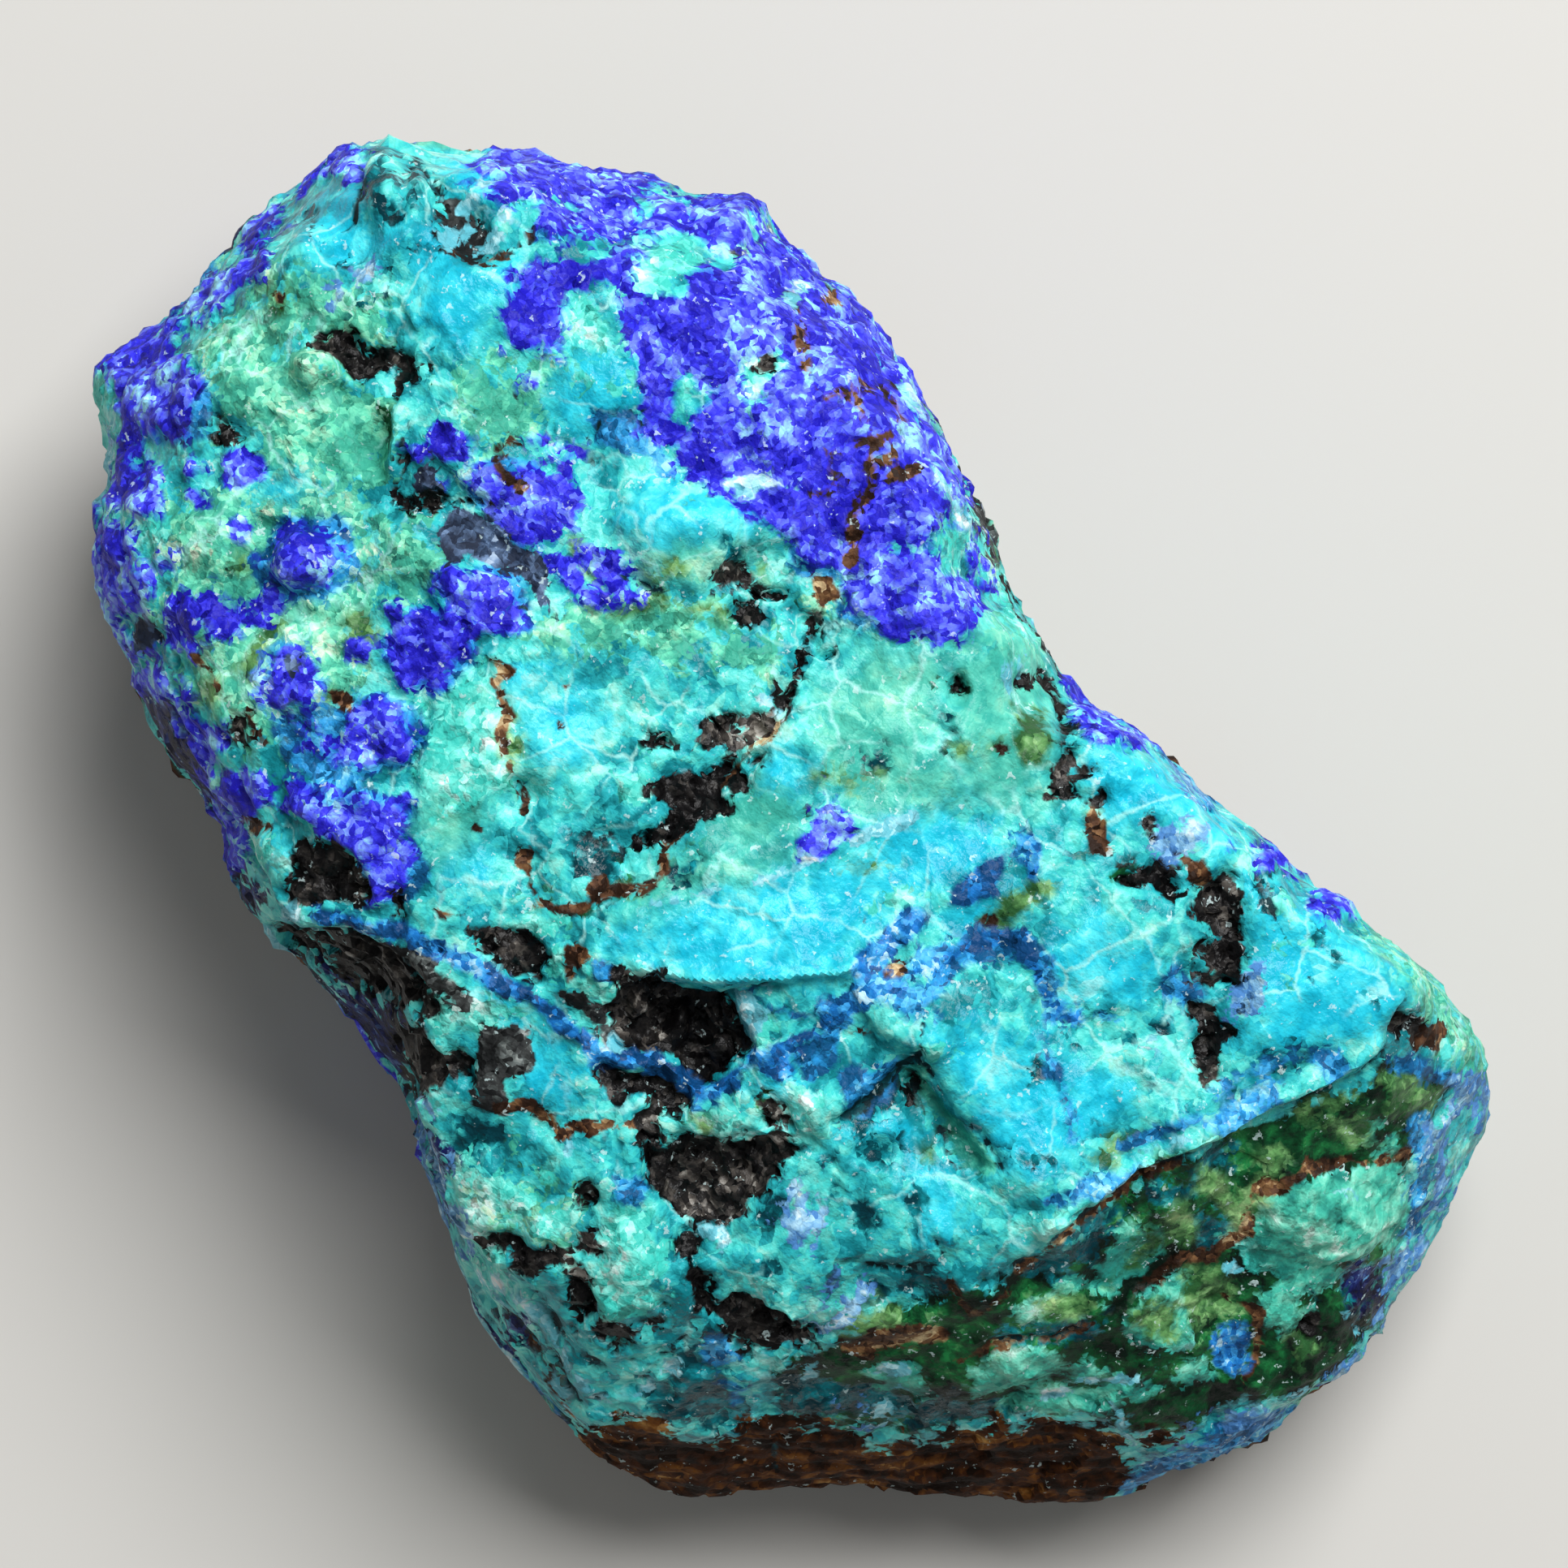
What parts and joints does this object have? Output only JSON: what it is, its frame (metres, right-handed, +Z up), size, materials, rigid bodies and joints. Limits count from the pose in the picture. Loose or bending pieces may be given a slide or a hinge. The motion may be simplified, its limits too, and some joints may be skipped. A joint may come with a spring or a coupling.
{
  "type": "phoenix stone specimen",
  "caption": "Rough hand-sized lump of blue and turquoise copper ore with a broken, knobbly face and a flat broken back that it lies on.",
  "frame": {"origin": "middle of the lump's bounding box, on the surface that it lies on", "axes": "+Z up out of the colourful face, +X along the lump's length towards its green and brown end"},
  "size_m": [0.07, 0.044, 0.027],
  "materials": {
    "stone": "rough broken copper ore: turquoise chrysocolla, violet-blue azurite, green malachite, black tenorite and brown ironstone"
  },
  "bodies": {
    "root": {"stone": "stone"}
  },
  "joints": []
}
